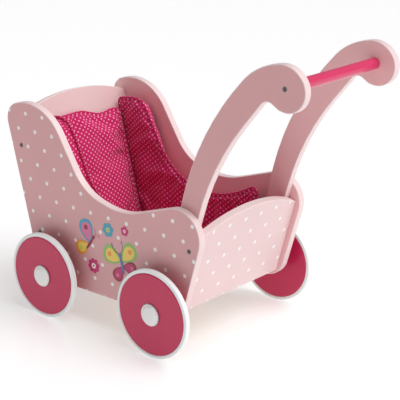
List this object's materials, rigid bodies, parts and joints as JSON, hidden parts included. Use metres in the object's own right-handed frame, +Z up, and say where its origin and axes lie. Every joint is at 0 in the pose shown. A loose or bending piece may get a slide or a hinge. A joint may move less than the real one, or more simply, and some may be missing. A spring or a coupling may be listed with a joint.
{
  "type": "doll pram",
  "caption": "Wooden toy pram for dolls: a boarded tub with a raised hood end, curved handle arms with a cross bar, disc wheels and a padded fabric inlay.",
  "frame": {"origin": "centre of the pram's bounding box, on the surface that its wheels stand on", "axes": "+X from the hood end to the handle end, +Y to the pusher's right, +Z up"},
  "size_m": [0.5331, 0.3052, 0.44],
  "materials": {
    "painted_board": "pale pink satin lacquer on fibreboard, with small white dots",
    "painted_bar": "bright pink gloss lacquer on a turned dowel",
    "painted_disc": "deep magenta gloss lacquer on fibreboard",
    "bare_wood": "clear lacquered birch",
    "white_rubber": "matt white rubber",
    "white_plastic": "white moulded plastic",
    "steel": "zinc plated",
    "dark_steel": "blackened steel",
    "dotted_cotton": "magenta cotton with small pale pink dots, padded"
  },
  "bodies": {
    "frame": {"side_panel_left": "painted_board", "side_panel_right": "painted_board", "head_panel": "painted_board", "foot_panel": "painted_board", "floor_panel": "bare_wood", "handle_arm_left": "painted_board", "handle_arm_right": "painted_board", "handle_bar": "painted_bar", "head_panel_screws": "dark_steel", "foot_panel_screws": "dark_steel", "arm_screws": "dark_steel", "bar_screws": "dark_steel", "floor_screws": "dark_steel", "axle_beam_front": "bare_wood", "axle_rod_front": "steel", "spacer_front_left": "white_plastic", "lock_washer_front_left": "steel", "hub_cap_front_left": "white_plastic", "spacer_front_right": "white_plastic", "lock_washer_front_right": "steel", "hub_cap_front_right": "white_plastic", "axle_beam_rear": "bare_wood", "axle_rod_rear": "steel", "spacer_rear_left": "white_plastic", "lock_washer_rear_left": "steel", "hub_cap_rear_left": "white_plastic", "spacer_rear_right": "white_plastic", "lock_washer_rear_right": "steel", "hub_cap_rear_right": "white_plastic"},
    "wheel_front_left": {"wheel_disc_front_left": "painted_disc", "tyre_front_left": "white_rubber"},
    "wheel_front_right": {"wheel_disc_front_right": "painted_disc", "tyre_front_right": "white_rubber"},
    "wheel_rear_left": {"wheel_disc_rear_left": "painted_disc", "tyre_rear_left": "white_rubber"},
    "wheel_rear_right": {"wheel_disc_rear_right": "painted_disc", "tyre_rear_right": "white_rubber"},
    "bedding": {"mattress": "dotted_cotton", "head_cushion": "dotted_cotton", "side_bumper_left": "dotted_cotton", "side_bumper_right": "dotted_cotton"}
  },
  "joints": [
    {"name": "wheel_spin_front_left", "type": "hinge", "parent": "frame", "child": "wheel_front_left", "pos_m": [-0.17, -0.1422, 0.065], "axis": [0, 1, 0], "continuous": true},
    {"name": "wheel_spin_front_right", "type": "hinge", "parent": "frame", "child": "wheel_front_right", "pos_m": [-0.17, 0.1422, 0.065], "axis": [0, 1, 0], "continuous": true},
    {"name": "wheel_spin_rear_left", "type": "hinge", "parent": "frame", "child": "wheel_rear_left", "pos_m": [0.047, -0.1422, 0.065], "axis": [0, 1, 0], "continuous": true},
    {"name": "wheel_spin_rear_right", "type": "hinge", "parent": "frame", "child": "wheel_rear_right", "pos_m": [0.047, 0.1422, 0.065], "axis": [0, 1, 0], "continuous": true},
    {"name": "bedding_lift", "type": "slide", "parent": "frame", "child": "bedding", "axis": [0, 0, 1], "range_m": [0, 0.3]}
  ]
}
